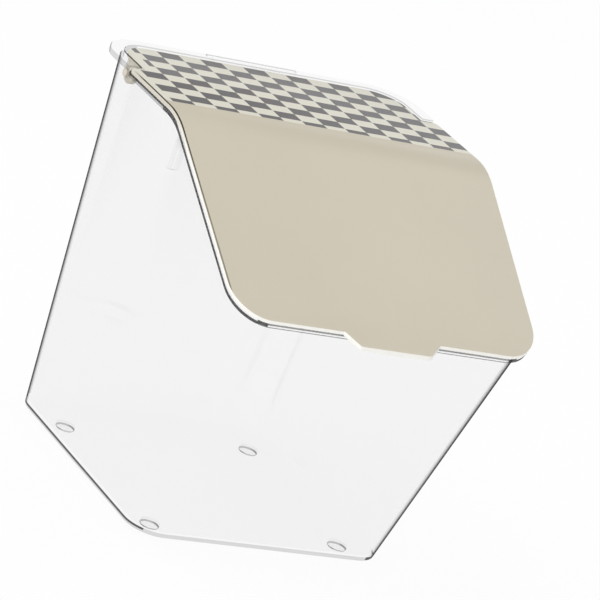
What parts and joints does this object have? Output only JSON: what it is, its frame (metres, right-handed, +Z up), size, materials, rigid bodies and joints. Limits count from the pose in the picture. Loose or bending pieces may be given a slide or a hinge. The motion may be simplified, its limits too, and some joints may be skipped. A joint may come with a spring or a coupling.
{
  "type": "wall-mounted flip-lid bin",
  "caption": "Clear tapered kitchen bin with a bent, opaque flip lid on side pins, hung from a stick-on wall plate that slides between rails on its back.",
  "frame": {"origin": "on the surface that the feet stand on, in the middle of the overall width and depth", "axes": "+X to the right as seen from the front, -Y the front with the finger tab, +Y the wall side, +Z up"},
  "size_m": [0.1498, 0.1756, 0.1623],
  "materials": {
    "clear_plastic": "gloss",
    "cream_plastic": "satin",
    "clear_rubber": "soft clear bumper",
    "pad_gel": "soft clear gel tape"
  },
  "bodies": {
    "bin": {"bin_body": "clear_plastic", "foot_front_left": "clear_rubber", "foot_front_right": "clear_rubber", "foot_rear_left": "clear_rubber", "foot_rear_right": "clear_rubber"},
    "lid": {"lid": "cream_plastic"},
    "wall_plate": {"wall_plate": "clear_plastic", "adhesive_pad": "pad_gel"}
  },
  "joints": [
    {"name": "lid_hinge", "type": "hinge", "parent": "bin", "child": "lid", "pos_m": [0, 0.06106, 0.1558], "axis": [-1, 0, 0], "range_deg": [0, 105]},
    {"name": "bin_lift", "type": "slide", "parent": "bin", "child": "wall_plate", "axis": [0, 0, -1], "range_m": [0, 0.05]}
  ]
}
